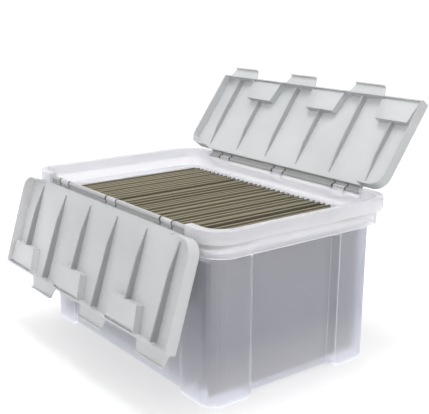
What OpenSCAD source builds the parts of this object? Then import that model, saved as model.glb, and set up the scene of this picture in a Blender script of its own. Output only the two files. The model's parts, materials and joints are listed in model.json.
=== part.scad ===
// Portable file box: a frosted tub with built-in rails, two hinged lids that
// interlock along the middle, and a full set of letter-size hanging folders.
// X runs along the hinges, Y across the box, Z up. The origin is the middle of
// the footprint, on the surface that the box stands on. The lids are drawn open.

/* [Tub] */
// Length of the walls below the rim, outside
body_l = 490; // [440:1:560]
// Thickness of the moulded walls
wall = 2.2; // [1.6:0.1:3]
// Thickness of the floor
floor_t = 2.4; // [1.8:0.1:4]
// Lean of each wall from the rim to the base
draft = 2; // [0.5:0.5:3]
// Radius of the upright corners
corner_r = 28; // [20:1:34]
// Height of the four corner feet
foot_h = 5; // [3:0.5:8]
// Width of the proud pillars beside each corner
pillar_w = 75; // [60:1:80]
// Depth of the recessed panels in the end walls
end_recess = 10; // [4:1:11]
// Depth of the recessed panels in the long walls
side_recess = 4; // [2:0.5:5]
// Reach of the finger notches under the walls' lower edges
notch_in = 24; // [16:1:40]

/* [Rim] */
// Reach of the collar past the end walls
collar_end = 19.5; // [16:0.5:24]
// Reach of the collar past the long walls
collar_side = 4; // [3:0.5:6]
// Depth of the collar, from the rim to its lower edge
collar_h = 43.4; // [41:0.2:50]
// Reach of the lip past the collar at the ends
lip_end = 7.5; // [5:0.5:12]
// Depth of the lip that turns down round the rim
lip_h = 20; // [14:1:24]
// Radius of the collar's corners
collar_r = 36; // [30:1:38]

/* [Files] */
// Width of a hanging folder's paper
folder_w = 298; // [290:1:300]
// Height of a hanging folder
folder_h = 232.5; // [220:0.5:240]
// Tip to tip length of a folder's metal rods
hook_span = 322; // [318:1:324]
// Number of hanging folders
folder_count = 18; // [18:1:18]
// Spread of a folder's two hems at the top
hem_spread = 12.8; // [10:0.2:14]
// Thickness of a folder's hem
hem_t = 3.4; // [3:0.1:4.5]
// Height of a folder's hem
hem_h = 11.2; // [10.4:0.1:14]

/* [Hinges] */
// Height of the rim above the hinge axes
hinge_drop = 7.6; // [7.2:0.1:9]
// Radius of the hinge barrels
barrel_r = 4.2; // [3.6:0.1:4.4]
// Radius of the steel hinge rods
rod_r = 1.5; // [1.2:0.1:1.8]
// Length of the row of barrels on each lid
hinge_l = 405.2; // [390:0.2:410]
// Distance between the tub's knuckles
knuckle_pitch = 156; // [140:1:160]
// Length of each knuckle on the tub
knuckle_w = 26.5; // [20:0.5:30]

/* [Lids] */
// Length of a lid
lid_l = 512; // [500:1:518]
// Thickness of a lid's plate and skirts
lid_t = 2; // [1.6:0.1:2.4]
// Depth of the plate's top below the hinge axis
lid_sink = 8.4; // [8:0.1:9]
// Gap between the two closed lids' edges
lid_gap = 11.4; // [9:0.2:14]
// Depth of the skirt at a lid's ends
end_skirt = 18.5; // [10:0.5:18.7]
// Depth of the skirt along a lid's free edge
edge_skirt = 15.6; // [14.6:0.1:17]
// Radius of a lid's corners at the hinge
lid_corner_r = 24; // [24:1:40]
// Thickness of the stiffening ribs
rib_t = 2.4; // [1.6:0.1:3]
// Depth of a rib where it has stopped deepening quickly
rib_h = 7.8; // [5:0.1:9]
// Depth of a long rib at the free edge
long_rib_h = 11.7; // [9:0.1:12]
// Depth of a short rib at its pocket
short_rib_h = 10.4; // [9:0.1:11]

/* [Interlock] */
// Number of tabs on each lid, with as many pockets
tab_count = 3; // [3:1:3]
// Distance from one tab to the next
tab_pitch = 168; // [160:1:170]
// Width of a tab where it leaves the lid
tab_root_w = 86; // [78:1:88]
// Width of a tab where it enters the other lid's pocket
tab_w = 75; // [60:1:76]
// Width of a tab at its tip
tab_tip_w = 68; // [56:1:70]
// Length of a tab past the lid's free edge
tab_l = 22.6; // [22:0.1:26]
// Depth of a tab's top below the lid's
tab_drop = 6; // [5:0.1:7]
// Width of a pocket at the free edge, outside
pocket_w = 82; // [81:1:84]
// Width of a pocket at its shelf, outside
shelf_w = 68; // [66:1:74]
// Length of a pocket across the lid
pocket_l = 42.5; // [38:0.5:46]
// Depth of a pocket below the lid's top
pocket_drop = 12; // [11.8:0.1:12.8]
// Width of the snap ridge along a pocket's mouth
ridge_w = 8; // [7:0.5:8]

/* [Pose] */
// Angle of the front lid from closed
front_open = 253; // [0:1:253]
// Angle of the back lid from closed
back_open = 126; // [0:1:253]

/* [Hidden] */
$fn = 48;

clear = 0.3;                 // gap between parts that move past each other
fit = 0.02;                  // radial gap of a rod that stays still in its hole
running = 0.08;              // radial gap of a rod that a barrel turns on
cut = 1;                     // how far a cutter runs past a face
hook_clear = 2.3;            // gap between a hook's tip and the wall
end_room = 0.6;              // how far an end folder can slide outwards

// Tub, worked out from the folders that hang in it
body_w = hook_span + 2 * (hook_clear + wall);
file_gap = 1.1;              // gap under a folder
floor_z = foot_h + floor_t;
file_top = floor_z + file_gap + folder_h;
lid_room = 35;               // space for the closed lids above the folders
tub_h = file_top + lid_room;
collar_l = body_l + 2 * collar_end;
collar_w = body_w + 2 * collar_side;
lip_side = 10.5;             // reach of the lip past the collar at the long sides
rim_l = collar_l + 2 * lip_end;
rim_w = collar_w + 2 * lip_side;
rim_r = collar_r + lip_end;
lip_t = 1.8;
collar_z = tub_h - collar_h;
ledge_z = tub_h - hinge_drop - lid_sink - end_skirt - clear; // what the closed lids' skirts stand over
step_z = file_top - 20;      // top of the recessed panels in the long walls

// Hinges
hinge_y = rim_w / 2 - 5.8;
hinge_z = tub_h - hinge_drop;
station = knuckle_w / 2 + 3; // half the length that a lid leaves free for a knuckle
notch_half = hinge_l / 2 + 3.4;
shelf_z = hinge_z - 11.9;    // low shelf of the rim under the barrels
cap_t = 2.2;                 // closing plates at the ends of the notch
web_t = 2.2;                 // web that joins a lid to its barrels
notch_z = hinge_z - web_t / 2 - clear;

// Rails
rod_h = 8;                   // height of a folder's rod
rod_t = 1.2;
rod_z = file_top - 2 - rod_h;
hook_notch = 4;              // depth of the notch that sits on a rail
rail_t = 2;
rail_y = folder_w / 2 + 7;   // inner face of a rail
rail_top = rod_z + hook_notch - clear;
rail_h = 8.7;

// Lids, in their own frame: hinge axis at the origin, Y towards the free edge
lid_y0 = 8.7;                // hinge side edge of the plate
lid_y1 = hinge_y - lid_gap / 2;
plate_top = -lid_sink;
plate_low = plate_top - lid_t;
pocket_top = plate_top - pocket_drop;
tab_top = plate_top - tab_drop; // low enough for a tab to drop into the other lid's pocket
tip_r = 5;                   // radius of a tab's tip corners
ridge_top = tab_top - lid_t - 0.4;
hook_y = 2 * hinge_y - (lid_y1 - ridge_w) + clear; // a hook's face, just past the other lid's ridge
rib_start = 19;
rib_rise = 43;

// Folders, spread along the rails as far as the hooks clear the tub's round corners
fold_half = 2.6;             // half the thickness of a folder at its bottom fold
flap_t = 1;
hook_in = hook_span / 2 - body_w / 2 + corner_r; // from a corner's centre to a hook's tip
hook_x = body_l / 2 - corner_r + sqrt(pow(corner_r - wall - clear, 2) - pow(hook_in, 2));
end_folder_x = hook_x - (hem_spread + rod_t) / 2 - end_room;
folder_pitch = 2 * end_folder_x / (folder_count - 1);

olive = [0.53, 0.50, 0.41];
frosted = [0.90, 0.90, 0.93, 0.75];
silver = [0.80, 0.82, 0.84, 0.85];

function arc(c, r, a0, a1, n = 6) =
    [for (i = [0:n]) let (a = a0 + (a1 - a0) * i / n) c + r * [cos(a), sin(a)]];

// Rounded rectangle
module rounded(l, w, r) {
    square([l, w - 2 * r], center = true);
    square([l - 2 * r, w], center = true);
    for (i = [-1, 1], j = [-1, 1]) translate([i * (l / 2 - r), j * (w / 2 - r)]) circle(r);
}

// One side of the walls' outline: a recessed panel, if it has a depth d, with
// sides at 45 degrees. The side lies along +Y at the distance a, and h is half
// the opening.
function panel(a, h, d) = d > 0 ? [[a, -h], [a - d, d - h], [a - d, h - d], [a, h]] : [];

function turned(pts, k) = [for (p = pts) k == 0 ? p : k == 1 ? [-p.y, p.x] : k == 2 ? -p : [p.y, -p.x]];

// Outline of the walls, t in from the outer face: four corner pillars with a
// recessed panel between each pair
function walls(l, w, er, sr, t) =
    let (a = l / 2 - t, b = w / 2 - t, r = corner_r - t, e = w / 2 - pillar_w + t * tan(22.5),
         s = l / 2 - pillar_w + t * tan(22.5))
    [for (k = [0:3]) each concat(
        turned(k % 2 == 0 ? panel(a, e, er) : panel(b, s, sr), k),
        turned(k % 2 == 0 ? arc([a - r, b - r], r, 0, 90) : arc([b - r, a - r], r, 0, 90), k))];

module ring(l, w, r, t, z0, z1)
    translate([0, 0, z0]) linear_extrude(z1 - z0) difference() {
        rounded(l, w, r);
        rounded(l - 2 * t, w - 2 * t, r - t);
    }

// Lower storey, which leans in towards the base
module leaning(t, z0, z1)
    let (k0 = 1 - z0 / step_z, k1 = 1 - z1 / step_z,
         l0 = body_l - 2 * draft * k0, w0 = body_w - 2 * draft * k0,
         l1 = body_l - 2 * draft * k1, w1 = body_w - 2 * draft * k1)
    translate([0, 0, z0])
        linear_extrude(z1 - z0, scale = [(l1 - 2 * t) / (l0 - 2 * t), (w1 - 2 * t) / (w0 - 2 * t)], slices = 1)
            polygon(walls(l0, w0, end_recess, side_recess, t));

// Upper storey, upright, with panels in the end walls only
module upright(t, z0, z1)
    translate([0, 0, z0]) linear_extrude(z1 - z0) polygon(walls(body_l, body_w, end_recess, 0, t));

module both_sides() for (k = [0, 180]) rotate([0, 0, k]) children();

// Notches under the walls' lower edges, which leave a foot at each corner and
// the flat middle of the floor; t is added all round
module finger_notches(t) {
    x = body_l / 2 - pillar_w + t;
    y = body_w / 2 - pillar_w + t;
    pad_l = body_l - 2 * (draft + end_recess + notch_in + t);
    pad_w = body_w - 2 * (draft + side_recess + notch_in + t);
    translate([0, 0, t - cut]) linear_extrude(foot_h + cut) difference() {
        union() {
            square([2 * x, rim_w], center = true);
            square([rim_l, 2 * y], center = true);
        }
        square([pad_l, pad_w], center = true);
    }
}

module tub_shell() difference() {
    union() {
        leaning(0, 0, step_z);
        upright(0, step_z, ledge_z);
    }
    difference() {
        leaning(wall, floor_t, step_z + wall);
        finger_notches(floor_t);
    }
    upright(wall, step_z + wall, ledge_z + cut);
    finger_notches(0);
}

// Ledge, collar and turned-down lip
module rim() {
    translate([0, 0, ledge_z - floor_t]) linear_extrude(floor_t) difference() {
        rounded(collar_l - wall, collar_w - wall, collar_r - wall / 2);
        polygon(walls(body_l, body_w, end_recess, 0, wall / 2));
    }
    ring(collar_l, collar_w, collar_r, wall, collar_z, tub_h);
    translate([0, 0, tub_h - wall]) linear_extrude(wall) difference() {
        rounded(rim_l, rim_w, rim_r);
        rounded(collar_l - wall, collar_w - wall, collar_r - wall / 2);
    }
    ring(rim_l, rim_w, rim_r, lip_t, tub_h - lip_h, tub_h);
}

// Room for a lid's barrels and for its plate as it folds down outside
module hinge_notch() {
    y0 = collar_w / 2 - wall - cut;
    translate([-notch_half, y0, notch_z]) cube([2 * notch_half, rim_w / 2 - y0 + cut, tub_h - notch_z + cut]);
    translate([-notch_half, collar_w / 2, shelf_z]) cube([2 * notch_half, lip_side + cut, tub_h - shelf_z + cut]);
}

// Low shelf with its own lip, and the plates that close the rim beside it
module hinge_shelf() {
    y0 = collar_w / 2 - wall / 2;
    l = 2 * (notch_half + cap_t);
    translate([-l / 2, y0, shelf_z - wall]) cube([l, rim_w / 2 - y0, wall]);
    translate([-l / 2, rim_w / 2 - lip_t, shelf_z - 12]) cube([l, lip_t, 12]);
    for (i = [0, 1]) mirror([i, 0, 0])
        translate([notch_half, y0, shelf_z - wall]) cube([cap_t, rim_w / 2 - y0, tub_h - shelf_z + wall]);
}

module knuckle() {
    y_wall = collar_w / 2 - wall - hinge_y;
    rotate([90, 0, 90]) translate([0, 0, -knuckle_w / 2]) linear_extrude(knuckle_w) {
        circle(barrel_r);
        polygon([[y_wall, -web_t / 2 - clear], [y_wall, -12], [y_wall + wall, -12], [-0.6, -barrel_r + 0.2],
                 [0, -web_t / 2 - clear]]);
    }
}

module knuckles() translate([0, hinge_y, hinge_z])
    for (i = [-1:1]) translate([i * knuckle_pitch, 0, 0]) knuckle();

module rod_hole(r, l) rotate([0, 90, 0]) cylinder(r = r, h = l, center = true);

// Ledge with an upstand that the folders' hooks hang on
module rail() intersection() {
    translate([-body_l / 2, 0, 0]) {
        translate([0, rail_y, rail_top - rail_h - wall]) cube([body_l, body_w / 2 - rail_y, wall]);
        translate([0, rail_y, rail_top - rail_h - wall]) cube([body_l, rail_t, rail_h + wall]);
    }
    translate([0, 0, step_z]) linear_extrude(rail_top - step_z + cut)
        rounded(body_l - wall, body_w - wall, corner_r - wall / 2);
}

module tub() color(frosted) difference() {
    union() {
        tub_shell();
        difference() {
            rim();
            both_sides() hinge_notch();
        }
        both_sides() {
            hinge_shelf();
            knuckles();
            rail();
        }
    }
    both_sides() translate([0, hinge_y, hinge_z]) rod_hole(rod_r + fit, 2 * (notch_half + cap_t + cut));
}

// Plan of the plate in the lid's frame: square at the free edge, round at the hinge
module lid_plan(t) {
    a = lid_l / 2 - t;
    r = lid_corner_r - t;
    y = lid_y0 + t;
    translate([-a, y + r]) square([2 * a, lid_y1 - t - y - r]);
    translate([r - a, y]) square([2 * (a - r), 2 * r]);
    for (i = [-1, 1]) translate([i * (a - r), y + r]) circle(r);
}

module slab(z0, z1) translate([0, 0, z0]) linear_extrude(z1 - z0) children();

// Places along the lid, in half pitches: pockets first, tabs second
function pocket_x(i) = (i - (tab_count - 1) / 2) * tab_pitch - tab_pitch / 4;
function tab_x(i) = pocket_x(i) + tab_pitch / 2;

// Pocket outline, narrower at its shelf, t in from the outer face
function pocket_outline(t, y_end) =
    [[t - pocket_w / 2, y_end], [t - shelf_w / 2, lid_y1 - pocket_l + t],
     [shelf_w / 2 - t, lid_y1 - pocket_l + t], [pocket_w / 2 - t, y_end]];

module flat(z0, z1, pts) translate([0, 0, z0]) linear_extrude(z1 - z0) polygon(pts);

// Walls and floor of one pocket, with the hollow snap ridge along its mouth
module pocket() {
    r0 = lid_y1 - ridge_w;
    difference() {
        flat(pocket_top - lid_t, plate_top, pocket_outline(0, lid_y1));
        difference() {
            flat(pocket_top, plate_top + cut, pocket_outline(lid_t, lid_y1 + cut));
            slab(pocket_top - cut, ridge_top) translate([-pocket_w / 2, r0]) square([pocket_w, ridge_w + 2 * cut]);
        }
        translate([lid_t - pocket_w / 2, r0 + lid_t, pocket_top - lid_t - cut])
            cube([pocket_w - 2 * lid_t, ridge_w - 2 * lid_t, ridge_top - pocket_top + cut]);
    }
}

// Tab with a hooked tip that drops behind the other lid's snap ridge
module tab() {
    y0 = lid_y1 - lid_t;
    y1 = lid_y1 + tab_l;
    y_mouth = lid_y1 + lid_gap - 2;
    x_tip = tab_tip_w / 2 - tip_r;
    intersection() {
        union() {
            slab(tab_top - lid_t, tab_top) translate([-tab_root_w / 2, y0]) square([tab_root_w, y1 - y0]);
            slab(pocket_top + clear, tab_top) translate([-tab_root_w / 2, hook_y]) square([tab_root_w, lid_t]);
        }
        slab(pocket_top, plate_top)
            polygon(concat([[-tab_root_w / 2, y0], [tab_root_w / 2, y0], [tab_root_w / 2, lid_y1], [tab_w / 2, y_mouth]],
                           arc([x_tip, y1 - tip_r], tip_r, 0, 90), arc([-x_tip, y1 - tip_r], tip_r, 90, 180),
                           [[-tab_w / 2, y_mouth], [-tab_root_w / 2, lid_y1]]));
    }
}

// Rib that deepens quickly past the hinge and slowly from there on
module rib(y_end, h)
    rotate([90, 0, 90]) translate([0, 0, -rib_t / 2]) linear_extrude(rib_t)
        polygon([[rib_start, plate_low + 0.2], [rib_start, plate_low - 1], [rib_start + rib_rise, plate_low - rib_h],
                 [y_end, plate_low - h], [y_end, plate_low + 0.2]]);

// Barrels, with the web and riser that carry the plate. The web makes room for
// the tub's knuckles.
module hinge_side() difference() {
    union() {
        rod_hole(barrel_r, hinge_l);
        translate([-hinge_l / 2, 0, -web_t / 2]) cube([hinge_l, lid_y0 + web_t, web_t]);
        translate([-hinge_l / 2, lid_y0, plate_low]) cube([hinge_l, web_t, web_t / 2 - plate_low]);
    }
    for (i = [-1:1]) translate([i * knuckle_pitch - station, -barrel_r - cut, -barrel_r - cut])
        cube([2 * station, 2 * barrel_r + cut + clear, 2 * barrel_r + 2 * cut]);
}

module end_skirts() difference() {
    slab(plate_top - end_skirt, plate_top) lid_plan(0);
    slab(plate_top - end_skirt - cut, plate_top + cut) lid_plan(lid_t);
    translate([-lid_l / 2 - cut, lid_y1 - lid_t, plate_top - end_skirt - cut])
        cube([lid_l + 2 * cut, lid_t + cut, end_skirt - edge_skirt + cut]);
    translate([-notch_half - cap_t, lid_y0 - cut, plate_top - end_skirt - cut])
        cube([2 * (notch_half + cap_t), 3 * cut + lid_t, end_skirt - lid_t + cut]);
}

module lid() difference() {
    union() {
        difference() {
            union() {
                slab(plate_low, plate_top) lid_plan(0);
                end_skirts();
            }
            for (i = [0:tab_count - 1]) translate([pocket_x(i), 0, 0])
                flat(ridge_top, plate_top + cut, pocket_outline(lid_t / 2, lid_y1 + cut));
        }
        hinge_side();
        for (i = [0:tab_count - 1]) {
            translate([pocket_x(i), 0, 0]) {
                pocket();
                rib(lid_y1 - pocket_l + lid_t / 2, short_rib_h);
            }
            translate([tab_x(i), 0, 0]) {
                tab();
                rib(lid_y1 - 5, long_rib_h);
            }
        }
    }
    rod_hole(rod_r + running, hinge_l + 2 * cut);
}

module front_lid() color(silver)
    translate([0, -hinge_y, hinge_z]) rotate([front_open, 0, 0]) lid();

module back_lid() color(silver)
    translate([0, hinge_y, hinge_z]) rotate([-back_open, 0, 0]) rotate([0, 0, 180]) lid();

module hinge_rod(side) color([0.6, 0.6, 0.62])
    translate([0, side * hinge_y, hinge_z]) rod_hole(rod_r, 2 * notch_half + cap_t);

function folder_x(i) = (i - (folder_count + 1) / 2) * folder_pitch;

// Section of one folder: a sheet of card with a hem at each top edge and a
// narrow flat fold at the bottom
module folder_section() {
    edge = (hem_spread + hem_t) / 2;
    mouth = (hem_spread - hem_t) / 2;
    z_hem = file_top - hem_h;
    z_neck = z_hem - 1.5;
    z_fold = file_top - folder_h;
    r = hem_t / 2;
    difference() {
        polygon(concat(arc([hem_spread / 2, file_top - r], r, 0, 180),
                       arc([-hem_spread / 2, file_top - r], r, 0, 180),
                       [[-edge, z_hem], [flap_t - edge, z_neck], [-fold_half, z_fold + 2],
                        [2 - fold_half, z_fold], [fold_half - 2, z_fold], [fold_half, z_fold + 2],
                        [edge - flap_t, z_neck], [edge, z_hem]]));
        polygon([[-mouth, file_top + cut], [-mouth, z_hem], [2 * flap_t - edge, z_neck],
                 [flap_t - fold_half, z_fold + 2], [flap_t - fold_half, z_fold + flap_t],
                 [fold_half - flap_t, z_fold + flap_t], [fold_half - flap_t, z_fold + 2],
                 [edge - 2 * flap_t, z_neck], [mouth, z_hem], [mouth, file_top + cut]]);
        for (i = [-1, 1]) translate([i * hem_spread / 2 - rod_t / 2 - clear, rod_z - clear])
            square([rod_t + 2 * clear, rod_h + 2 * clear]);
    }
}

module folder(i) color(olive) translate([folder_x(i), folder_w / 2, 0])
    rotate([90, 0, 0]) linear_extrude(folder_w) folder_section();

// Flat steel rod with a hook at each end
module folder_rod() rotate([90, 0, 90]) translate([0, 0, -rod_t / 2]) linear_extrude(rod_t) difference() {
    translate([-hook_span / 2, rod_z]) square([hook_span, rod_h]);
    for (i = [0, 1]) mirror([i, 0]) translate([rail_y - clear * 3, rod_z - cut])
        square([rail_t + 6 * clear, hook_notch + cut]);
}

module folder_rods(i) color([0.45, 0.45, 0.42])
    for (k = [-1, 1]) translate([folder_x(i) + k * hem_spread / 2, 0, 0]) folder_rod();

tub();
front_lid();
back_lid();
hinge_rod(-1);  // front_hinge_rod
hinge_rod(1);  // back_hinge_rod
folder(1);  // folder_01
folder(2);  // folder_02
folder(3);  // folder_03
folder(4);  // folder_04
folder(5);  // folder_05
folder(6);  // folder_06
folder(7);  // folder_07
folder(8);  // folder_08
folder(9);  // folder_09
folder(10);  // folder_10
folder(11);  // folder_11
folder(12);  // folder_12
folder(13);  // folder_13
folder(14);  // folder_14
folder(15);  // folder_15
folder(16);  // folder_16
folder(17);  // folder_17
folder(18);  // folder_18
folder_rods(1);  // folder_rods_01
folder_rods(2);  // folder_rods_02
folder_rods(3);  // folder_rods_03
folder_rods(4);  // folder_rods_04
folder_rods(5);  // folder_rods_05
folder_rods(6);  // folder_rods_06
folder_rods(7);  // folder_rods_07
folder_rods(8);  // folder_rods_08
folder_rods(9);  // folder_rods_09
folder_rods(10);  // folder_rods_10
folder_rods(11);  // folder_rods_11
folder_rods(12);  // folder_rods_12
folder_rods(13);  // folder_rods_13
folder_rods(14);  // folder_rods_14
folder_rods(15);  // folder_rods_15
folder_rods(16);  // folder_rods_16
folder_rods(17);  // folder_rods_17
folder_rods(18);  // folder_rods_18
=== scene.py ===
"""Looks of a portable file box: frosted tub, satin lids, olive hanging folders and steel rods."""

from __future__ import annotations

import json
import logging
import math
import random
from abc import ABC, abstractmethod
from dataclasses import dataclass
from enum import Enum

import bpy
import mathutils
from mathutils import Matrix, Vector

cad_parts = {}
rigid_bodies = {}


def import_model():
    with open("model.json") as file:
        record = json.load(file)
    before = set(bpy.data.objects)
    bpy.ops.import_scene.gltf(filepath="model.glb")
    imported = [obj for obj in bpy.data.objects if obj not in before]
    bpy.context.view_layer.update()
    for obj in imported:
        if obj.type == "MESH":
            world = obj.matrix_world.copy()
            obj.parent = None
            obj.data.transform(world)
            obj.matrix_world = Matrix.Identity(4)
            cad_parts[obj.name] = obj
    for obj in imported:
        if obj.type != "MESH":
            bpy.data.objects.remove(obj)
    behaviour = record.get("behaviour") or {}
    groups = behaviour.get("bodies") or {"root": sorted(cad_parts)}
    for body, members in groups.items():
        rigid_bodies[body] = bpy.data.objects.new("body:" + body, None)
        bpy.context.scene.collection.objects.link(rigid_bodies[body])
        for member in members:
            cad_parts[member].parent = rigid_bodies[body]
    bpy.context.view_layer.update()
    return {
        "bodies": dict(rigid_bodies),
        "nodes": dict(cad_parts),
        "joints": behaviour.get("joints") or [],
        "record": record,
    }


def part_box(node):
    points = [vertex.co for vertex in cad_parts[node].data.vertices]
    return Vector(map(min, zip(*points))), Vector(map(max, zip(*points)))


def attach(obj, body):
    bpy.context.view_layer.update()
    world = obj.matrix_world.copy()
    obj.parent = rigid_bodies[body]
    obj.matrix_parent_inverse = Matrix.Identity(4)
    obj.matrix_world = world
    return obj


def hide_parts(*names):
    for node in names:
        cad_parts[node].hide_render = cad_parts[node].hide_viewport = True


LOG = logging.getLogger("file_box")
# One millimetre in the scene's metres
MM = 0.001
# Distance between two hinge knuckles, in millimetres
KNUCKLE_PITCH_MM = 156.0
# Value that a noise texture varies around
NOISE_MIDDLE = 0.5
BEVEL_SAMPLES = 6
# Where a Mix node keeps its two colours among its inputs, and their mix among its outputs
MIX_FIRST, MIX_SECOND, MIX_RESULT = 6, 7, 2
HALF_TURN = 180.0

Colour = tuple[float, float, float]
Point = tuple[float, float, float]
Span = tuple[float, float]
Term = bpy.types.NodeSocket | float

WHITE: Colour = (1.0, 1.0, 1.0)
BLACK: Colour = (0.0, 0.0, 0.0)


class Part(str, Enum):
    """CAD nodes that are dressed by name."""

    TUB = "tub"
    FRONT_LID = "front_lid"
    BACK_LID = "back_lid"
    FRONT_ROD = "front_hinge_rod"
    BACK_ROD = "back_hinge_rod"


class Mark(str, Enum):
    """Values that a folder's mesh carries at each point for its card."""

    TONE = "tone"
    WORN_AND_LIT = "worn_and_lit"


def add_node(tree: bpy.types.NodeTree, kind: str, **values: object) -> bpy.types.Node:
    """Adds one node to a tree and sets its sockets.

    Args:
        tree: The node tree that takes the node.
        kind: Blender's name for the node type.
        **values: One value for each input socket, by name, with underscores for spaces.

    Returns:
        The new node.
    """
    node = tree.nodes.new(kind)
    for name, value in values.items():
        node.inputs[name.replace("_", " ")].default_value = value
    return node


def join(tree: bpy.types.NodeTree, term: Term, socket: bpy.types.NodeSocket) -> None:
    """Feeds a socket from another socket, or sets it to a plain value.

    Args:
        tree: The tree that holds both.
        term: The output to link, or the value to set.
        socket: The input that takes it.
    """
    if isinstance(term, bpy.types.NodeSocket):
        tree.links.new(term, socket)
    else:
        socket.default_value = term


def calc(tree: bpy.types.NodeTree, operation: str, *terms: Term) -> bpy.types.NodeSocket:
    """Adds a Math node.

    Args:
        tree: The tree that takes it.
        operation: The node's operation.
        *terms: Its inputs, as sockets or numbers.

    Returns:
        The result's socket.
    """
    node = tree.nodes.new("ShaderNodeMath")
    node.operation = operation
    for term, socket in zip(terms, node.inputs):
        join(tree, term, socket)
    return node.outputs[0]


def ramp(tree: bpy.types.NodeTree, value: Term, start: Term, end: Term) -> bpy.types.NodeSocket:
    """Adds a clamped ramp that rises from 0 at start to 1 at end.

    Args:
        tree: The tree that takes it.
        value: What is measured.
        start: The value that gives 0.
        end: The value that gives 1.

    Returns:
        The ramp's socket.
    """
    node = tree.nodes.new("ShaderNodeMapRange")
    for term, name in ((value, "Value"), (start, "From Min"), (end, "From Max")):
        join(tree, term, node.inputs[name])
    return node.outputs["Result"]


def fade(tree: bpy.types.NodeTree, length: Term, span_mm: Span) -> bpy.types.NodeSocket:
    """Adds a ramp between two lengths.

    Args:
        tree: The tree that takes it.
        length: The length that is measured, in metres.
        span_mm: The lengths in millimetres that give 0 and 1.

    Returns:
        The ramp's socket.
    """
    return ramp(tree, length, span_mm[0] * MM, span_mm[1] * MM)


def band(tree: bpy.types.NodeTree, length: Term, span_mm: Span, soft_mm: float
         ) -> bpy.types.NodeSocket:
    """Adds a mask that is 1 between two lengths and 0 outside them.

    Args:
        tree: The tree that takes it.
        length: The length that is measured, in metres.
        span_mm: Where the band starts and ends, in millimetres.
        soft_mm: The width of its soft edges, which lie inside it.

    Returns:
        The mask's socket.
    """
    half, middle = (span_mm[1] - span_mm[0]) / 2, (span_mm[1] + span_mm[0]) / 2
    off = calc(tree, "ABSOLUTE", calc(tree, "SUBTRACT", length, middle * MM))
    return fade(tree, off, (half, half - soft_mm))


def opaque(colour: Colour) -> tuple[float, float, float, float]:
    """Gives a colour full opacity, as a socket takes it.

    Args:
        colour: Its red, green and blue.

    Returns:
        The four values.
    """
    return (*colour, 1.0)


def blend_colours(tree: bpy.types.NodeTree, factor: Term, first: bpy.types.NodeSocket | Colour,
                  second: bpy.types.NodeSocket | Colour) -> bpy.types.NodeSocket:
    """Mixes two colours.

    Args:
        tree: The tree that takes the Mix node.
        factor: How much of the second colour shows.
        first: The colour at 0.
        second: The colour at 1.

    Returns:
        The mixed colour's socket.
    """
    node = tree.nodes.new("ShaderNodeMix")
    node.data_type = "RGBA"
    join(tree, factor, node.inputs[0])
    for colour, place in ((first, MIX_FIRST), (second, MIX_SECOND)):
        term = colour if isinstance(colour, bpy.types.NodeSocket) else opaque(colour)
        join(tree, term, node.inputs[place])
    return node.outputs[MIX_RESULT]


def object_point(tree: bpy.types.NodeTree) -> bpy.types.NodeSocket:
    """Adds Object coordinates.

    Args:
        tree: The tree that takes them.

    Returns:
        Their socket.
    """
    return tree.nodes.new("ShaderNodeTexCoord").outputs["Object"]


def split(tree: bpy.types.NodeTree, vector: bpy.types.NodeSocket) -> bpy.types.NodeOutputs:
    """Splits a vector.

    Args:
        tree: The tree that takes the Separate XYZ node.
        vector: The vector's socket.

    Returns:
        The three outputs, by index.
    """
    node = tree.nodes.new("ShaderNodeSeparateXYZ")
    tree.links.new(vector, node.inputs[0])
    return node.outputs


def surface(tree: bpy.types.NodeTree) -> bpy.types.NodeInputs:
    """Finds the inputs of a material's surface.

    Args:
        tree: The material's tree.

    Returns:
        The inputs, by name.
    """
    return tree.nodes["Principled BSDF"].inputs


def start_material(name: str
                   ) -> tuple[bpy.types.Material, bpy.types.NodeTree, bpy.types.NodeInputs]:
    """Makes a material with nodes.

    Args:
        name: The material's name.

    Returns:
        The material, its tree and its surface's inputs.
    """
    material = bpy.data.materials.new(name)
    material.use_nodes = True
    return material, material.node_tree, surface(material.node_tree)


def past_knuckle(tree: bpy.types.NodeTree, along: bpy.types.NodeSocket) -> bpy.types.NodeSocket:
    """Measures how far a place along the hinge lies from the nearest knuckle's middle.

    Args:
        tree: The material's tree.
        along: The place along the hinge.

    Returns:
        The distance's socket.
    """
    return calc(tree, "PINGPONG", along, KNUCKLE_PITCH_MM / 2 * MM)


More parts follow.
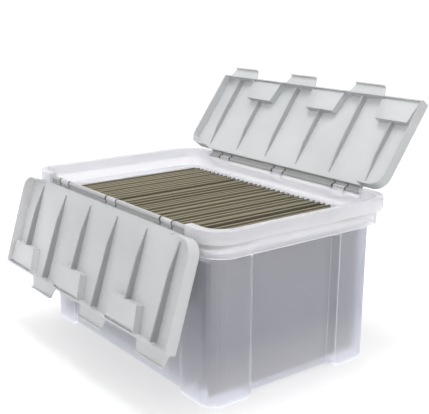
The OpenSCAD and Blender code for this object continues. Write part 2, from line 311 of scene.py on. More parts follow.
class Effects:
    """The shader node groups that more than one material uses."""

    # Noise values between which the colour drifts from its low to its high one
    DRIFT_SPAN = (0.35, 0.65)
    # How alike the rounded and the flat normal are off an edge, and right on it
    EDGE_SPAN = (0.99, 0.86)

    def __init__(self) -> None:
        """Builds every group."""
        self.frost = self._frost()
        self.drift = self._drift()
        self.rub = self._rub()
        self.edge = self._edge()

    @staticmethod
    def _start(name: str, inputs: dict[str, float | str], outputs: dict[str, str]
               ) -> tuple[bpy.types.NodeTree, bpy.types.NodeOutputs, bpy.types.NodeInputs]:
        """Makes an empty group with its sockets.

        Args:
            name: The group's name.
            inputs: Each input's name, with a default number, or the name of another socket type.
            outputs: Each output's name and kind of socket.

        Returns:
            The group's tree, the sockets that come in and the sockets that go out.
        """
        tree = bpy.data.node_groups.new(name, "ShaderNodeTree")
        for label, value in inputs.items():
            kind = value if isinstance(value, str) else "Float"
            socket = tree.interface.new_socket(
                name=label, in_out="INPUT", socket_type=f"NodeSocket{kind}")
            if kind == "Float":
                socket.default_value = value
        for label, kind in outputs.items():
            tree.interface.new_socket(name=label, in_out="OUTPUT", socket_type=f"NodeSocket{kind}")
        given, result = add_node(tree, "NodeGroupInput"), add_node(tree, "NodeGroupOutput")
        return tree, given.outputs, result.inputs

    def _frost(self) -> bpy.types.NodeTree:
        """Builds the fine grain of a frosted moulding, and the slow clouding in its plastic.

        Returns:
            A group with Size and Strength in, Height and Cloud out.
        """
        tree, given, result = self._start(
            "frost_grain", {"Size": 900.0, "Strength": 1.0}, {"Height": "Float", "Cloud": "Float"})
        point = object_point(tree)
        fine = add_node(tree, "ShaderNodeTexNoise", Detail=2.0, Roughness=0.6)
        slow = add_node(tree, "ShaderNodeTexNoise", Scale=9.0, Detail=3.0, Roughness=0.55)
        tree.links.new(point, fine.inputs["Vector"])
        tree.links.new(point, slow.inputs["Vector"])
        tree.links.new(given["Size"], fine.inputs["Scale"])
        grain = calc(tree, "MULTIPLY", fine.outputs["Fac"], given["Strength"])
        tree.links.new(grain, result["Height"])
        tree.links.new(slow.outputs["Fac"], result["Cloud"])
        return tree

    def _drift(self) -> bpy.types.NodeTree:
        """Builds a slow change between two colours.

        Returns:
            A group with Mask, Low and High in, Colour out.
        """
        tree, given, result = self._start(
            "colour_drift", {"Mask": NOISE_MIDDLE, "Low": "Color", "High": "Color"},
            {"Colour": "Color"})
        spread = ramp(tree, given["Mask"], *self.DRIFT_SPAN)
        tree.links.new(blend_colours(tree, spread, given["Low"], given["High"]), result["Colour"])
        return tree

    def _rub(self) -> bpy.types.NodeTree:
        """Builds faint rubbed patches that change the gloss.

        Returns:
            A group with Base, Spread and Size in, Roughness out.
        """
        tree, given, result = self._start(
            "rubbed_gloss", {"Base": 0.4, "Spread": 0.1, "Size": 14.0}, {"Roughness": "Float"})
        patches = add_node(tree, "ShaderNodeTexNoise", Detail=5.0, Roughness=0.65)
        tree.links.new(object_point(tree), patches.inputs["Vector"])
        tree.links.new(given["Size"], patches.inputs["Scale"])
        around = calc(tree, "SUBTRACT", patches.outputs["Fac"], NOISE_MIDDLE)
        rubbed = calc(tree, "MULTIPLY_ADD", around, given["Spread"], given["Base"])
        tree.links.new(rubbed, result["Roughness"])
        return tree

    def _edge(self) -> bpy.types.NodeTree:
        """Builds a mask of the narrow bands along edges, where a painted highlight glows.

        Returns:
            A group with a Bevelled normal in, Mask out.
        """
        tree, given, result = self._start("lit_edge", {"Bevelled": "Vector"}, {"Mask": "Float"})
        facet = tree.nodes.new("ShaderNodeNewGeometry")
        dot = tree.nodes.new("ShaderNodeVectorMath")
        dot.operation = "DOT_PRODUCT"
        tree.links.new(given["Bevelled"], dot.inputs[0])
        tree.links.new(facet.outputs["Normal"], dot.inputs[1])
        tree.links.new(ramp(tree, dot.outputs["Value"], *self.EDGE_SPAN), result["Mask"])
        return tree


def place_group(tree: bpy.types.NodeTree, group: bpy.types.NodeTree, **values: object
                ) -> bpy.types.Node:
    """Places a shader node group in a material with its own values.

    Args:
        tree: The material's tree.
        group: The group.
        **values: One value for each of its inputs.

    Returns:
        The group's node.
    """
    node = tree.nodes.new("ShaderNodeGroup")
    node.node_tree = group
    for name, value in values.items():
        node.inputs[name].default_value = value
    return node


@dataclass(frozen=True)
class MouldedPlastic(ABC):
    """Translucent moulded plastic with soft edges, fine frosting and rubbed patches."""

    name: str
    low: Colour
    high: Colour
    transmission: float
    roughness: float
    grain_mm: float
    bump: float
    bump_mm: float = 0.2
    edge_mm: float = 0.8
    ior: float = 1.49
    rub_spread: float = 0.12

    @abstractmethod
    def shade(self, tree: bpy.types.NodeTree, colour: bpy.types.NodeSocket) -> bpy.types.NodeSocket:
        """Changes the plastic's colour from place to place.

        Args:
            tree: The material's tree.
            colour: The colour so far.

        Returns:
            The colour to use.
        """

    def finish(self, tree: bpy.types.NodeTree, effects: Effects) -> None:
        """Adds what only one kind of moulding has, which is nothing unless it says otherwise.

        Args:
            tree: The material's tree.
            effects: The shared node groups.
        """

    def build(self, effects: Effects) -> bpy.types.Material:
        """Makes the material.

        Args:
            effects: The shared node groups.

        Returns:
            The finished material.
        """
        material, tree, sockets = start_material(self.name)
        sockets["Transmission Weight"].default_value = self.transmission
        sockets["IOR"].default_value = self.ior
        frost = place_group(tree, effects.frost, Size=1.0 / (self.grain_mm * MM))
        drift = place_group(tree, effects.drift, Low=opaque(self.low), High=opaque(self.high))
        rub = place_group(tree, effects.rub, Base=self.roughness, Spread=self.rub_spread)
        bevel = add_node(tree, "ShaderNodeBevel", Radius=self.edge_mm * MM)
        bevel.samples = BEVEL_SAMPLES
        bump = add_node(tree, "ShaderNodeBump", Strength=self.bump, Distance=self.bump_mm * MM)
        tree.links.new(frost.outputs["Cloud"], drift.inputs["Mask"])
        tree.links.new(self.shade(tree, drift.outputs["Colour"]), sockets["Base Color"])
        tree.links.new(rub.outputs["Roughness"], sockets["Roughness"])
        tree.links.new(frost.outputs["Height"], bump.inputs["Height"])
        tree.links.new(bevel.outputs["Normal"], bump.inputs["Normal"])
        tree.links.new(bump.outputs["Normal"], sockets["Normal"])
        self.finish(tree, effects)
        return material


@dataclass(frozen=True)
class TubPlastic(MouldedPlastic):
    """Frosted plastic of the tub: white at the collar and rim, with painted shade darkening and
    cooling the walls below, and painted light at the feet, the head, the edges and the rim.

    Each span gives where its change starts and where it is complete, apart from the gaps' three,
    which give both sides of a gap.
    """

    # Painted shade: the walls' darker, cooler colour, which pales again towards the feet and the
    # head as painted light
    wall_shade_tint: Colour = (0.81, 0.825, 0.93)
    wall_z_mm: Span = (232.6, 231.1)
    foot_z_mm: Span = (90.0, 0.0)
    foot_share: float = 0.6
    head_z_mm: Span = (140.0, 232.6)
    head_share: float = 0.3
    # Painted shade in the gaps beside the hinge knuckles
    gap_shade_colour: Colour = (0.16, 0.16, 0.17)
    gap_mm: Span = (12.9, 16.5)
    gap_y_mm: Span = (169.0, 178.6)
    gap_z_mm: Span = (263.0, 273.0)
    gap_soft_mm: float = 0.3
    # Painted light: emission that makes the walls' edges, the feet and the rim glow
    glow: Colour = (0.86, 0.87, 0.93)
    glow_strength: float = 0.6
    foot_glow: float = 0.10
    rim_glow: float = 0.06
    lit_edge_mm: float = 2.0
    lit_z_mm: Span = (236.6, 233.6)

    def shade(self, tree: bpy.types.NodeTree, colour: bpy.types.NodeSocket) -> bpy.types.NodeSocket:
        """Darkens and cools the walls under the collar with painted shade, and pales them again at
        the feet and the head with painted light.

        Args:
            tree: The material's tree.
            colour: The colour so far.

        Returns:
            The colour to use.
        """
        height = split(tree, object_point(tree))[2]
        wall = fade(tree, height, self.wall_z_mm)
        foot = calc(tree, "MULTIPLY", fade(tree, height, self.foot_z_mm), self.foot_share)
        head = calc(tree, "MULTIPLY", fade(tree, height, self.head_z_mm), self.head_share)
        pale = calc(tree, "ADD", foot, head)
        share = calc(tree, "MULTIPLY", wall, calc(tree, "SUBTRACT", 1.0, pale))
        walls = blend_colours(tree, share, colour, self.wall_shade_tint)
        # Painted shade darkens the tub in the gaps beside the hinge knuckles
        return blend_colours(tree, self.gaps(tree), walls, self.gap_shade_colour)

    def gaps(self, tree: bpy.types.NodeTree) -> bpy.types.NodeSocket:
        """Builds a mask of the gaps beside the hinge knuckles, where painted shade darkens the tub.

        Args:
            tree: The material's tree.

        Returns:
            The mask's socket.
        """
        place = split(tree, object_point(tree))
        away = (past_knuckle(tree, place[0]), calc(tree, "ABSOLUTE", place[1]), place[2])
        inside: Term = 1.0
        for length, span in zip(away, (self.gap_mm, self.gap_y_mm, self.gap_z_mm)):
            inside = calc(tree, "MULTIPLY", inside, band(tree, length, span, self.gap_soft_mm))
        return inside

    def finish(self, tree: bpy.types.NodeTree, effects: Effects) -> None:
        """Paints light onto the walls' edges, the feet and the rim, as an emission glow that stands
        in for light gathered inside the plastic.

        Args:
            tree: The material's tree.
            effects: The shared node groups.
        """
        sockets = surface(tree)
        edge = place_group(tree, effects.edge)
        wide = add_node(tree, "ShaderNodeBevel", Radius=self.lit_edge_mm * MM)
        wide.samples = BEVEL_SAMPLES
        tree.links.new(wide.outputs["Normal"], edge.inputs["Bevelled"])
        height = split(tree, object_point(tree))[2]
        below = fade(tree, height, self.lit_z_mm)
        edges = calc(tree, "MULTIPLY", edge.outputs["Mask"], below)
        feet = calc(tree, "MULTIPLY", fade(tree, height, self.foot_z_mm), self.foot_glow)
        rim = calc(tree, "MULTIPLY", calc(tree, "SUBTRACT", 1.0, below), self.rim_glow)
        share = calc(tree, "MAXIMUM", edges, calc(tree, "ADD", feet, rim))
        glow = blend_colours(tree, share, BLACK, self.glow)
        tree.links.new(glow, sockets["Emission Color"])
        sockets["Emission Strength"].default_value = self.glow_strength


@dataclass(frozen=True, kw_only=True)
class LidPlastic(MouldedPlastic):
    """Satin plastic of a lid, with painted shade where its ribs stand, along its hinge and beside
    its knuckles.

    Sizes are in the lid's own frame, about its hinge. Each span gives where its change starts and
    where it is complete, apart from gap_mm, which gives both sides of a gap.
    """

    hinge: Point
    turn: Point
    # Painted shade where the ribs stand
    rib_shade_colour: Colour
    rib_pitch_mm: float = 84.0
    rib_edge_mm: Span = (1.65, 1.25)
    under_plate_mm: Span = (-10.5, -10.9)
    short_end_mm: Span = (127.5, 127.0)
    long_end_mm: Span = (164.1, 163.6)
    # Painted shade along the hinge strip
    strip_shade_colour: Colour = (0.58, 0.585, 0.59)
    strip_y_mm: Span = (11.5, 11.2)
    strip_z_mm: Span = (-8.5, -8.2)
    # Painted shade in the gaps beside the knuckles
    gap_shade_colour: Colour = (0.14, 0.14, 0.15)
    gap_mm: Span = (12.9, 17.4)
    gap_soft_mm: float = 0.4

    def lid_place(self, tree: bpy.types.NodeTree) -> bpy.types.NodeOutputs:
        """Turns Object coordinates into places on the lid.

        Args:
            tree: The material's tree.

        Returns:
            The places along the hinge, out from it and square to the plate, by index.
        """
        lid = tree.nodes.new("ShaderNodeMapping")
        lid.vector_type = "TEXTURE"
        lid.inputs["Location"].default_value = self.hinge
        lid.inputs["Rotation"].default_value = [math.radians(angle) for angle in self.turn]
        tree.links.new(object_point(tree), lid.inputs["Vector"])
        return split(tree, lid.outputs["Vector"])

    def stripes(self, tree: bpy.types.NodeTree, along: bpy.types.NodeSocket, pitch_mm: float
                ) -> bpy.types.NodeSocket:
        """Builds a mask of narrow stripes across the lid.

        Args:
            tree: The material's tree.
            along: The place along the hinge.
            pitch_mm: The distance between two stripes.

        Returns:
            The mask's socket.
        """
        centred = calc(tree, "SUBTRACT", along, self.rib_pitch_mm / 2 * MM)
        return fade(tree, calc(tree, "PINGPONG", centred, pitch_mm / 2 * MM), self.rib_edge_mm)

    def ribs(self, tree: bpy.types.NodeTree, place: bpy.types.NodeOutputs) -> bpy.types.NodeSocket:
        """Builds a mask of the ribs, of which every second one is long.

        Args:
            tree: The material's tree.
            place: The place on the lid.

        Returns:
            The mask's socket.
        """
        below = fade(tree, place[2], self.under_plate_mm)
        short = fade(tree, place[1], self.short_end_mm)
        far = fade(tree, place[1], self.long_end_mm)
        long = calc(tree, "MULTIPLY", far, self.stripes(tree, place[0], 2 * self.rib_pitch_mm))
        reach = calc(tree, "MAXIMUM", short, long)
        ribs = calc(tree, "MULTIPLY", self.stripes(tree, place[0], self.rib_pitch_mm), reach)
        return calc(tree, "MULTIPLY", ribs, below)

    def shade(self, tree: bpy.types.NodeTree, colour: bpy.types.NodeSocket) -> bpy.types.NodeSocket:
        """Paints shade onto the ribs, the strip along the hinge and the gaps beside the knuckles.

        Args:
            tree: The material's tree.
            colour: The colour so far.

        Returns:
            The colour to use.
        """
        place = self.lid_place(tree)
        ribbed = blend_colours(tree, self.ribs(tree, place), colour, self.rib_shade_colour)
        near, above = fade(tree, place[1], self.strip_y_mm), fade(tree, place[2], self.strip_z_mm)
        strip = calc(tree, "MULTIPLY", near, above)
        hinged = blend_colours(tree, strip, ribbed, self.strip_shade_colour)
        gap = band(tree, past_knuckle(tree, place[0]), self.gap_mm, self.gap_soft_mm)
        return blend_colours(tree, calc(tree, "MULTIPLY", gap, strip), hinged, self.gap_shade_colour)


@dataclass(frozen=True)
class CardStock:
    """Olive card of the folders, with fibres, each hem's own tone and a line on its fold that is
    partly wear and partly painted highlight.
    """

    name: str
    low: Colour
    high: Colour
    # Colour of the hem tops, partly wear and partly painted highlight
    worn_and_lit: Colour
    roughness: float = 0.85
    rub_spread: float = 0.15
    rub_scale: float = 40.0
    fibre_scale: float = 1400.0
    fibre_stretch: Point = (1.0, 0.25, 1.0)
    fibre_share: float = 0.3
    tone_share: float = 0.5
    worn_and_lit_share: float = 0.8
    bump: float = 0.4
    bump_mm: float = 0.1

    def build(self, effects: Effects) -> bpy.types.Material:
        """Makes the material.

        Args:
            effects: The shared node groups.

        Returns:
            The finished material.
        """
        material, tree, sockets = start_material(self.name)
        stretch = add_node(tree, "ShaderNodeMapping", Scale=self.fibre_stretch)
        fibre = add_node(
            tree, "ShaderNodeTexNoise", Scale=self.fibre_scale, Detail=3.0, Roughness=0.7)
        drift = place_group(tree, effects.drift, Low=opaque(self.low), High=opaque(self.high))
        rub = place_group(
            tree, effects.rub, Base=self.roughness, Spread=self.rub_spread, Size=self.rub_scale)
        bump = add_node(tree, "ShaderNodeBump", Strength=self.bump, Distance=self.bump_mm * MM)
        marks = {}
        for mark in Mark:
            marks[mark] = tree.nodes.new("ShaderNodeAttribute")
            marks[mark].attribute_name = mark.value
        tree.links.new(object_point(tree), stretch.inputs["Vector"])
        tree.links.new(stretch.outputs["Vector"], fibre.inputs["Vector"])
        tone = calc(tree, "MULTIPLY_ADD", marks[Mark.TONE].outputs["Fac"], self.tone_share,
                    NOISE_MIDDLE * (1.0 - self.tone_share))
        speck = calc(tree, "MULTIPLY_ADD", fibre.outputs["Fac"], self.fibre_share,
                     -NOISE_MIDDLE * self.fibre_share)
        tree.links.new(calc(tree, "ADD", tone, speck), drift.inputs["Mask"])
        # Lightens the hem tops: partly wear, partly painted highlight
        rubbed = calc(tree, "MULTIPLY", marks[Mark.WORN_AND_LIT].outputs["Fac"], self.worn_and_lit_share)
        card = blend_colours(tree, rubbed, drift.outputs["Colour"], self.worn_and_lit)
        tree.links.new(card, sockets["Base Color"])
        tree.links.new(fibre.outputs["Fac"], bump.inputs["Height"])
        tree.links.new(rub.outputs["Roughness"], sockets["Roughness"])
        tree.links.new(bump.outputs["Normal"], sockets["Normal"])
        return material


@dataclass(frozen=True)
class DrawnSteel:
    """Steel of the hinge rods and of the folders' hanging rods."""

    name: str
    colour: Colour
    dark: Colour
    roughness: float
    rub_spread: float = 0.2
    rub_scale: float = 60.0
    grain_scale: float = 2500.0
    grain: float = 0.6
    bump: float = 0.15
    bump_mm: float = 0.05

    def build(self, effects: Effects) -> bpy.types.Material:
        """Makes the material.

        Args:
            effects: The shared node groups.

        Returns:
            The finished material.
        """
        material, tree, sockets = start_material(self.name)
        sockets["Metallic"].default_value = 1.0
        frost = place_group(tree, effects.frost, Size=self.grain_scale, Strength=self.grain)
        drift = place_group(tree, effects.drift, Low=opaque(self.dark), High=opaque(self.colour))
        rub = place_group(
            tree, effects.rub, Base=self.roughness, Spread=self.rub_spread, Size=self.rub_scale)
        bump = add_node(tree, "ShaderNodeBump", Strength=self.bump, Distance=self.bump_mm * MM)
        tree.links.new(frost.outputs["Cloud"], drift.inputs["Mask"])
        tree.links.new(drift.outputs["Colour"], sockets["Base Color"])
        tree.links.new(rub.outputs["Roughness"], sockets["Roughness"])
        tree.links.new(frost.outputs["Height"], bump.inputs["Height"])
        tree.links.new(bump.outputs["Normal"], sockets["Normal"])
        return material


def dress(node: bpy.types.Object, material: bpy.types.Material) -> None:
    """Gives a CAD node one material in place of its own.

    Args:
        node: The CAD node's object.
        material: The material that it takes.
    """
    node.data.materials.clear()
    node.data.materials.append(material)


@dataclass(frozen=True)
class LidTint:
    """Colours of one lid: its plate's darker and paler one, and the painted shade of its ribs."""

    low: Colour
    high: Colour
    rib_shade: Colour


@dataclass
class Mouldings:
    """The tub, the two lids and their hinge rods.

    front_open and back_open say how far each lid is open at rest, in degrees.
    """

    tub: TubPlastic = TubPlastic(
        name="frosted_tub", low=(0.93, 0.93, 0.96), high=(0.97, 0.97, 0.99), transmission=0.80,
        roughness=0.34, grain_mm=0.9, bump=0.10)
    # The two lids are one plastic: the back lid's darker plate colours are painted shade, and both
    # lids' rib colours are painted shade
    front_tint: LidTint = LidTint(
        low=(0.722, 0.73, 0.742), high=(0.765, 0.773, 0.785), rib_shade=(0.46, 0.465, 0.47))
    back_shaded_tint: LidTint = LidTint(
        low=(0.65, 0.665, 0.675), high=(0.70, 0.715, 0.725), rib_shade=(0.61, 0.62, 0.63))
    lid_transmission: float = 0.45
    lid_roughness: float = 0.38
    lid_grain_mm: float = 0.7
    lid_bump: float = 0.08
    front_open: float = 253.0
    back_open: float = 126.0
    wire: DrawnSteel = DrawnSteel(
        name="drawn_wire", colour=(0.30, 0.30, 0.31), dark=(0.18, 0.18, 0.19), roughness=0.35)

    def lid(self, name: str, hinge: Point, turn: Point, tint: LidTint) -> LidPlastic:
        """Describes the plastic of one lid.

        Args:
            name: The material's name.
            hinge: The middle of the lid's hinge axis.
            turn: How the lid is turned at rest, in degrees.
            tint: Its colours, with the painted shade of its ribs.

        Returns:
            The plastic.
        """
        return LidPlastic(
            name=name, low=tint.low, high=tint.high, rib_shade_colour=tint.rib_shade,
            transmission=self.lid_transmission, roughness=self.lid_roughness,
            grain_mm=self.lid_grain_mm, bump=self.lid_bump, hinge=hinge, turn=turn)

    def build(self, frame: dict, effects: Effects) -> None:
        """Dresses the tub, the lids and the hinge rods.

        Args:
            effects: The shared node groups.
        """
        nodes = frame["nodes"]
        dress(nodes[Part.TUB.value], self.tub.build(effects))
        lids = {Part.FRONT_LID: (Part.FRONT_ROD, (self.front_open, 0.0, 0.0), self.front_tint),
                Part.BACK_LID: (Part.BACK_ROD, (self.back_open, 0.0, HALF_TURN), self.back_shaded_tint)}
        for part, (rod, turn, tint) in lids.items():
            low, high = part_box(rod.value)
            hinge = tuple((a + b) / 2 for a, b in zip(low, high))
            plastic = self.lid(f"satin_{part.value}", hinge, turn, tint)
            dress(nodes[part.value], plastic.build(effects))
        wire = self.wire.build(effects)
        for rod in (Part.FRONT_ROD, Part.BACK_ROD):
            dress(nodes[rod.value], wire)
        LOG.info("dressed the tub, the lids and the hinge rods")


class JacketShape:
    """Geometry Nodes tree that gives a flat folder its waves, smooth shading and card."""

    NAME = "folder_jacket"
    # Each input's name and kind, with its default value where it has one
    INPUTS = (
        ("Geometry", "Geometry", None), ("Wave size", "Float", 0.001),
        ("Wave scale", "Float", 8.0), ("Hem height", "Float", 0.22),
        ("Wave height", "Float", 0.15), ("Seed", "Float", 0.0), ("Card", "Material", None))

    def __init__(self) -> None:
        """Builds the tree."""
        self.tree = bpy.data.node_groups.new(self.NAME, "GeometryNodeTree")
        self.ids: dict[str, str] = {}
        for name, kind, value in self.INPUTS:
            socket = self.tree.interface.new_socket(
                name=name, in_out="INPUT", socket_type=f"NodeSocket{kind}")
            if value is not None:
                socket.default_value = value
            self.ids[name] = socket.identifier
        self.tree.interface.new_socket(
            name="Geometry", in_out="OUTPUT", socket_type="NodeSocketGeometry")
        self._wire()

    def _wire(self) -> None:
        """Joins the tree's nodes, which push each point along X by up to Wave size."""
        tree = self.tree
        given = add_node(tree, "NodeGroupInput").outputs
        point = tree.nodes.new("GeometryNodeInputPosition").outputs[0]
        noise = add_node(tree, "ShaderNodeTexNoise", Detail=1.0)
        noise.noise_dimensions = "4D"
        tree.links.new(point, noise.inputs["Vector"])
        tree.links.new(given["Seed"], noise.inputs["W"])
        tree.links.new(given["Wave scale"], noise.inputs["Scale"])
        free = ramp(tree, split(tree, point)[2], given["Hem height"], given["Wave height"])
        around = calc(tree, "SUBTRACT", noise.outputs[0], NOISE_MIDDLE)
        size = calc(tree, "MULTIPLY", given["Wave size"], 1.0 / NOISE_MIDDLE)
        push = tree.nodes.new("ShaderNodeCombineXYZ")
        wave = calc(tree, "MULTIPLY", calc(tree, "MULTIPLY", around, size), free)
        tree.links.new(wave, push.inputs[0])
        stages = [tree.nodes.new(kind) for kind in (
            "GeometryNodeSetPosition", "GeometryNodeSetShadeSmooth", "GeometryNodeRealizeInstances",
            "GeometryNodeSetMaterial", "NodeGroupOutput")]
        tree.links.new(push.outputs[0], stages[0].inputs["Offset"])
        tree.links.new(given["Card"], stages[3].inputs["Material"])
        tree.links.new(given["Geometry"], stages[0].inputs["Geometry"])
        for before, after in zip(stages, stages[1:]):
            tree.links.new(before.outputs[0], after.inputs[0])

    def apply(self, piece: bpy.types.Object, **values: object) -> None:
        """Runs the tree on a piece and keeps the result as its plain mesh.

        Args:
            piece: The piece that takes the shape.
            **values: One value for each input, by name, with underscores for spaces.
        """
        modifier = piece.modifiers.new(self.NAME, "NODES")
        modifier.node_group = self.tree
        for name, value in values.items():
            modifier[self.ids[name.replace("_", " ")]] = value
        depsgraph = bpy.context.evaluated_depsgraph_get()
        evaluated = piece.evaluated_get(depsgraph)
        shaped = bpy.data.meshes.new_from_object(evaluated, depsgraph=depsgraph)
        piece.modifiers.remove(modifier)
        piece.data = shaped


@dataclass
class HangingFiles:
    """The hanging folders and their rods.

    Heights are above a folder's lowest point and offsets from its middle, in millimetres. The card
    of a hem is glued inside the flap, rises to the rod, loops over it and comes down outside it to
    the flap.
    """

    seed: int = 1800
    card_mm: float = 0.5
    rod_mm: float = 1.2
    hem_half_mm: float = 1.45
    hem_low_mm: float = 221.9
    glue_low_mm: float = 214.5
    glue_in_mm: Span = (0.65, 0.4)
    neck_mm: float = 219.6
    neck_half_mm: float = 6.85
    neck_drop_mm: float = 0.5
    fold_half_mm: float = 2.3
    fold_low_mm: float = 1.8
    fold_share: float = 0.6
    lift_mm: Span = (-0.4, 2.4)
    tilt_mm: Span = (-0.25, 0.25)
    front_shift_mm: Span = (-2.6, 2.6)
    back_shift_mm: Span = (-2.6, 1.56)
    wave_mm: float = 1.1
    wave_scale: float = 9.0
    still_above_mm: float = 216.0
    free_below_mm: float = 140.0
    arc_steps: int = 8
    length_steps: int = 30
    flap_steps: int = 14
    card: CardStock = CardStock(
        name="olive_card", low=(0.145, 0.128, 0.083), high=(0.235, 0.212, 0.145),
        worn_and_lit=(0.27, 0.245, 0.175))
    coated: DrawnSteel = DrawnSteel(
        name="coated_steel", colour=(0.30, 0.28, 0.22), dark=(0.20, 0.18, 0.13), roughness=0.45)

    def hem(self, spread: float, top: float, tilt: float) -> list[tuple[float, float, float]]:
        """Lays one hem's section: up the inner side, over the rod and down the outer side.

        Args:
            spread: The distance from the folder's middle to its rod.
            top: The height of the hem's top.
            tilt: How far the top leans outwards.

        Returns:
            Points as (offset, height, wear and painted highlight), for the hem at the right.
        """
        r, crown = self.hem_half_mm, top - self.hem_half_mm
        low_in, high_in = self.glue_in_mm
        points = [(self.neck_half_mm - low_in, self.glue_low_mm, 0.0),
                  (self.neck_half_mm - high_in, self.neck_mm - self.neck_drop_mm, 0.0),
                  (spread - r, self.hem_low_mm, 0.0)]
        for i in range(self.arc_steps + 1):
            angle = math.pi * (1.0 - i / self.arc_steps)
            out, up = math.cos(angle), math.sin(angle)
            # The wear and painted highlight is strongest where the card faces up over the rod
            points.append((spread + tilt + r * out, crown + r * up, up))
        return points + [(spread + r, self.hem_low_mm, 0.0)]

    def flap(self) -> list[tuple[float, float, float]]:
        """Lays the right flap's section from under the hem down to the bottom fold.

        Returns:
            Points as (offset, height, wear and painted highlight).
        """
        points = []
        for i in range(self.flap_steps + 1):
            t = i / self.flap_steps
            points.append((self.neck_half_mm + t * (self.fold_half_mm - self.neck_half_mm),
                           self.neck_mm + t * (self.fold_low_mm - self.neck_mm), 0.0))
        return points + [(self.fold_half_mm * self.fold_share, self.card_mm / 2, 0.0)]

    def mesh(self, name: str, low: Point, high: Point, spread: float, rng: random.Random
             ) -> bpy.types.Mesh:
        """Makes one folder's sheet, swept along its length.

        Args:
            name: The mesh's name.
            low: The folder's lowest corner in metres.
            high: Its highest corner.
            spread: The distance from its middle to each rod, in millimetres.
            rng: The random numbers of this folder.

        Returns:
            The mesh, with its tone and its wear and painted highlight at each point.
        """
        middle, height = (low[0] + high[0]) / 2, (high[2] - low[2]) / MM
        section: list[tuple[float, float, float, float, int]] = []
        shifts: dict[int, Span] = {}
        for side in (1, -1):
            top = height - self.card_mm / 2 + rng.uniform(*self.lift_mm)
            tilt = rng.uniform(*self.tilt_mm)
            tone = rng.random()
            shifts[side] = (rng.uniform(*self.front_shift_mm), rng.uniform(*self.back_shift_mm))
            outline = self.hem(spread, top, tilt) + self.flap()
            half = [(side * x, z, worn_and_lit, tone, side) for x, z, worn_and_lit in outline]
            section += half if side == 1 else half[::-1]
        points, tones, wear_and_highlight = [], [], []
        for j in range(self.length_steps + 1):
            t = j / self.length_steps
            for x, z, worn_and_lit, tone, side in section:
                front, back = low[1] + shifts[side][0] * MM, high[1] + shifts[side][1] * MM
                points.append((middle + x * MM, front + t * (back - front), low[2] + z * MM))
                tones.append(tone)
                wear_and_highlight.append(worn_and_lit)
        count = len(section)
        faces = [(j * count + i, j * count + i + 1, (j + 1) * count + i + 1, (j + 1) * count + i)
                 for j in range(self.length_steps) for i in range(count - 1)]
        mesh = bpy.data.meshes.new(name)
        mesh.from_pydata(points, [], faces)
        for mark, values in ((Mark.TONE, tones), (Mark.WORN_AND_LIT, wear_and_highlight)):
            mesh.attributes.new(mark.value, "FLOAT", "POINT").data.foreach_set("value", values)
        return mesh

    def build(self, frame: dict, effects: Effects) -> None:
        """Makes every folder's card and dresses the rods.

        Args:
            effects: The shared node groups.
        """
        card, coated, shape = self.card.build(effects), self.coated.build(effects), JacketShape()
        names = sorted(
            name for name in frame["nodes"] if name.startswith("folder_") and "rods" not in name)
        for name in names:
            number = name.rsplit("_", 1)[1]
            rods = f"folder_rods_{number}"
            dress(frame["nodes"][rods], coated)
            low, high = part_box(name)
            rod_low, rod_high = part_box(rods)
            spread = ((rod_high[0] - rod_low[0]) / MM - self.rod_mm) / 2
            rng = random.Random(self.seed + int(number))
            sheet = self.mesh(name, low, high, spread, rng)
            piece = bpy.data.objects.new(f"folder_jacket_{number}", sheet)
            bpy.context.scene.collection.objects.link(piece)
            shape.apply(piece, Wave_size=self.wave_mm * MM, Wave_scale=self.wave_scale,
                        Hem_height=low[2] + self.still_above_mm * MM,
                        Wave_height=low[2] + self.free_below_mm * MM,
                        Seed=float(int(number)), Card=card)
            wall = piece.modifiers.new("card", "SOLIDIFY")
            wall.thickness = self.card_mm * MM
            wall.offset = 0.0
            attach(piece, f"hanging_{number}")
            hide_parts(name)
        LOG.info("made %d hanging folders", len(names))


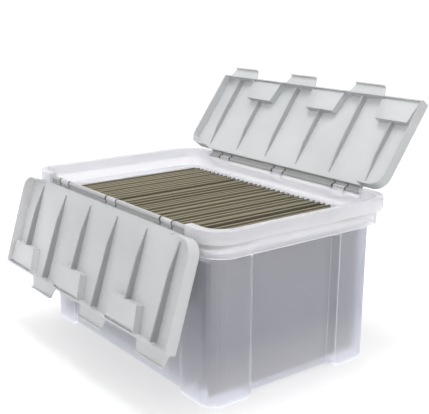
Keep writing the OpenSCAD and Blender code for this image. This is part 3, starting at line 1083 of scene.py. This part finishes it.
@dataclass
class Studio:
    """Camera, floor and light, in metres and degrees."""

    width_px: int = 429
    focal_px: float = 840.0
    sensor_mm: float = 36.0
    azimuth: float = 52.9
    elevation: float = 14.65
    eye: Point = (1.1248, -0.8223, 0.5936)
    floor_half: float = 12.0
    floor_colour: Colour = (0.56, 0.56, 0.56)
    floor_roughness: float = 0.9
    floor_gloss: float = 0.2
    floor_glow: float = 0.45
    world_strength: float = 1.04
    key_place: Point = (0.0, 0.0, 2.5)
    key_target: Point = (0.0, 0.0, 0.1)
    key_power: float = 30.0
    key_size: float = 0.9
    transmission_bounces: int = 12
    max_bounces: int = 16

    def camera(self) -> None:
        """Stands the camera where the photograph was taken."""
        data = bpy.data.cameras.new("camera")
        data.sensor_width = self.sensor_mm
        data.sensor_fit = "HORIZONTAL"
        data.lens = self.sensor_mm * self.focal_px / self.width_px
        camera = bpy.data.objects.new("camera", data)
        camera.location = self.eye
        camera.rotation_euler = (
            math.radians(90.0 - self.elevation), 0.0, math.radians(self.azimuth))
        bpy.context.scene.collection.objects.link(camera)
        bpy.context.scene.camera = camera

    def floor(self) -> None:
        """Lays a plain pale floor under the box."""
        h = self.floor_half
        mesh = bpy.data.meshes.new("floor")
        mesh.from_pydata([(-h, -h, 0), (h, -h, 0), (h, h, 0), (-h, h, 0)], [], [(0, 1, 2, 3)])
        floor = bpy.data.objects.new("floor", mesh)
        bpy.context.scene.collection.objects.link(floor)
        material, _, sockets = start_material("pale_floor")
        for name, value in (
                ("Base Color", opaque(self.floor_colour)), ("Roughness", self.floor_roughness),
                ("Specular IOR Level", self.floor_gloss), ("Emission Color", opaque(WHITE)),
                ("Emission Strength", self.floor_glow)):
            sockets[name].default_value = value
        mesh.materials.append(material)

    def key(self) -> None:
        """Hangs one soft square light over the box."""
        data = bpy.data.lights.new("key", "AREA")
        data.shape = "SQUARE"
        data.size = self.key_size
        data.energy = self.key_power
        light = bpy.data.objects.new("key", data)
        light.location = self.key_place
        aim = mathutils.Vector(self.key_target) - mathutils.Vector(self.key_place)
        light.rotation_euler = aim.to_track_quat("-Z", "Y").to_euler()
        bpy.context.scene.collection.objects.link(light)

    def build(self) -> None:
        """Sets up the camera, the floor, the light and the surroundings."""
        scene = bpy.context.scene
        self.camera()
        self.floor()
        self.key()
        world = bpy.data.worlds.new("white_room")
        scene.world = world
        world.use_nodes = True
        background = world.node_tree.nodes["Background"].inputs
        background["Color"].default_value = opaque(WHITE)
        background["Strength"].default_value = self.world_strength
        scene.view_settings.view_transform = "Standard"
        scene.cycles.transmission_bounces = self.transmission_bounces
        scene.cycles.max_bounces = self.max_bounces


def main() -> None:
    """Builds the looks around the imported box."""
    logging.basicConfig(level=logging.INFO, format="%(name)s: %(message)s")
    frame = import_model()
    Studio().build()
    effects = Effects()
    Mouldings().build(frame, effects)
    HangingFiles().build(frame, effects)
    LOG.info("dressed %d nodes", len(frame["nodes"]))


if __name__ == "__main__":
    main()
